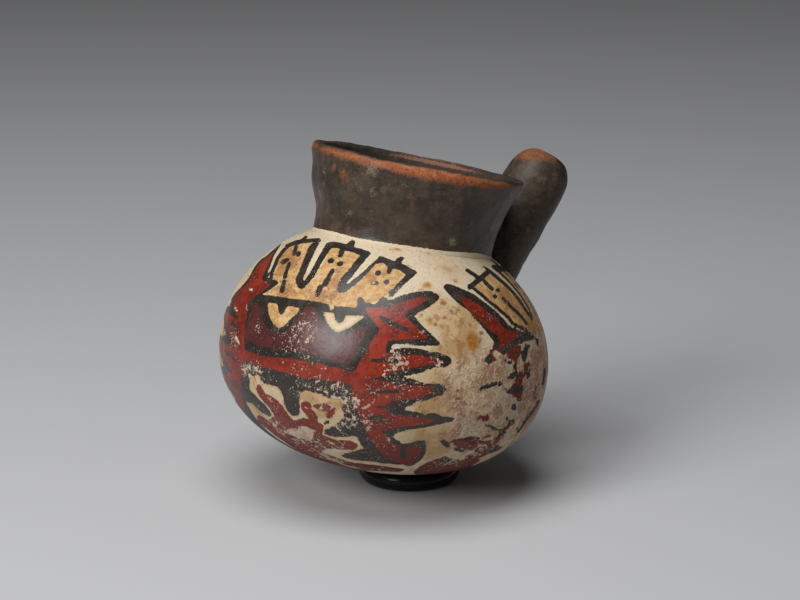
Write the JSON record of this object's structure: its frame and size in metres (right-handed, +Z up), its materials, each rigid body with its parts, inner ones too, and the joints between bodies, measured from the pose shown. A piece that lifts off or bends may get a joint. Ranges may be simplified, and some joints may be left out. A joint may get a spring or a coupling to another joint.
{
  "type": "spouted jar",
  "caption": "Round-bodied painted clay jar with a wide flaring collar and a straight tubular spout, leaning in a low black ring.",
  "frame": {"origin": "on the surface it stands on, under the middle of the object's bounding box", "axes": "+Z up, painted front towards -Y, spout behind the right side (+X, +Y)"},
  "size_m": [0.1228, 0.1162, 0.1223],
  "materials": {
    "painted_slip": "burnished slip, worn",
    "dark_slip": "burnished dark slip",
    "worn_rim": "dark slip worn to bare clay",
    "black_ring": "gloss"
  },
  "bodies": {
    "ring": {"display_ring": "black_ring"},
    "jar": {"base_bowl": "painted_slip", "belly_strap": "painted_slip", "shoulder_strap": "painted_slip", "neck_collar": "dark_slip", "rim_coil": "worn_rim", "spout_tube": "dark_slip", "spout_luting": "dark_slip"}
  },
  "joints": [
    {"name": "jar_lift", "type": "slide", "parent": "ring", "child": "jar", "axis": [0, 0, 1], "range_m": [0, 0.06]}
  ]
}
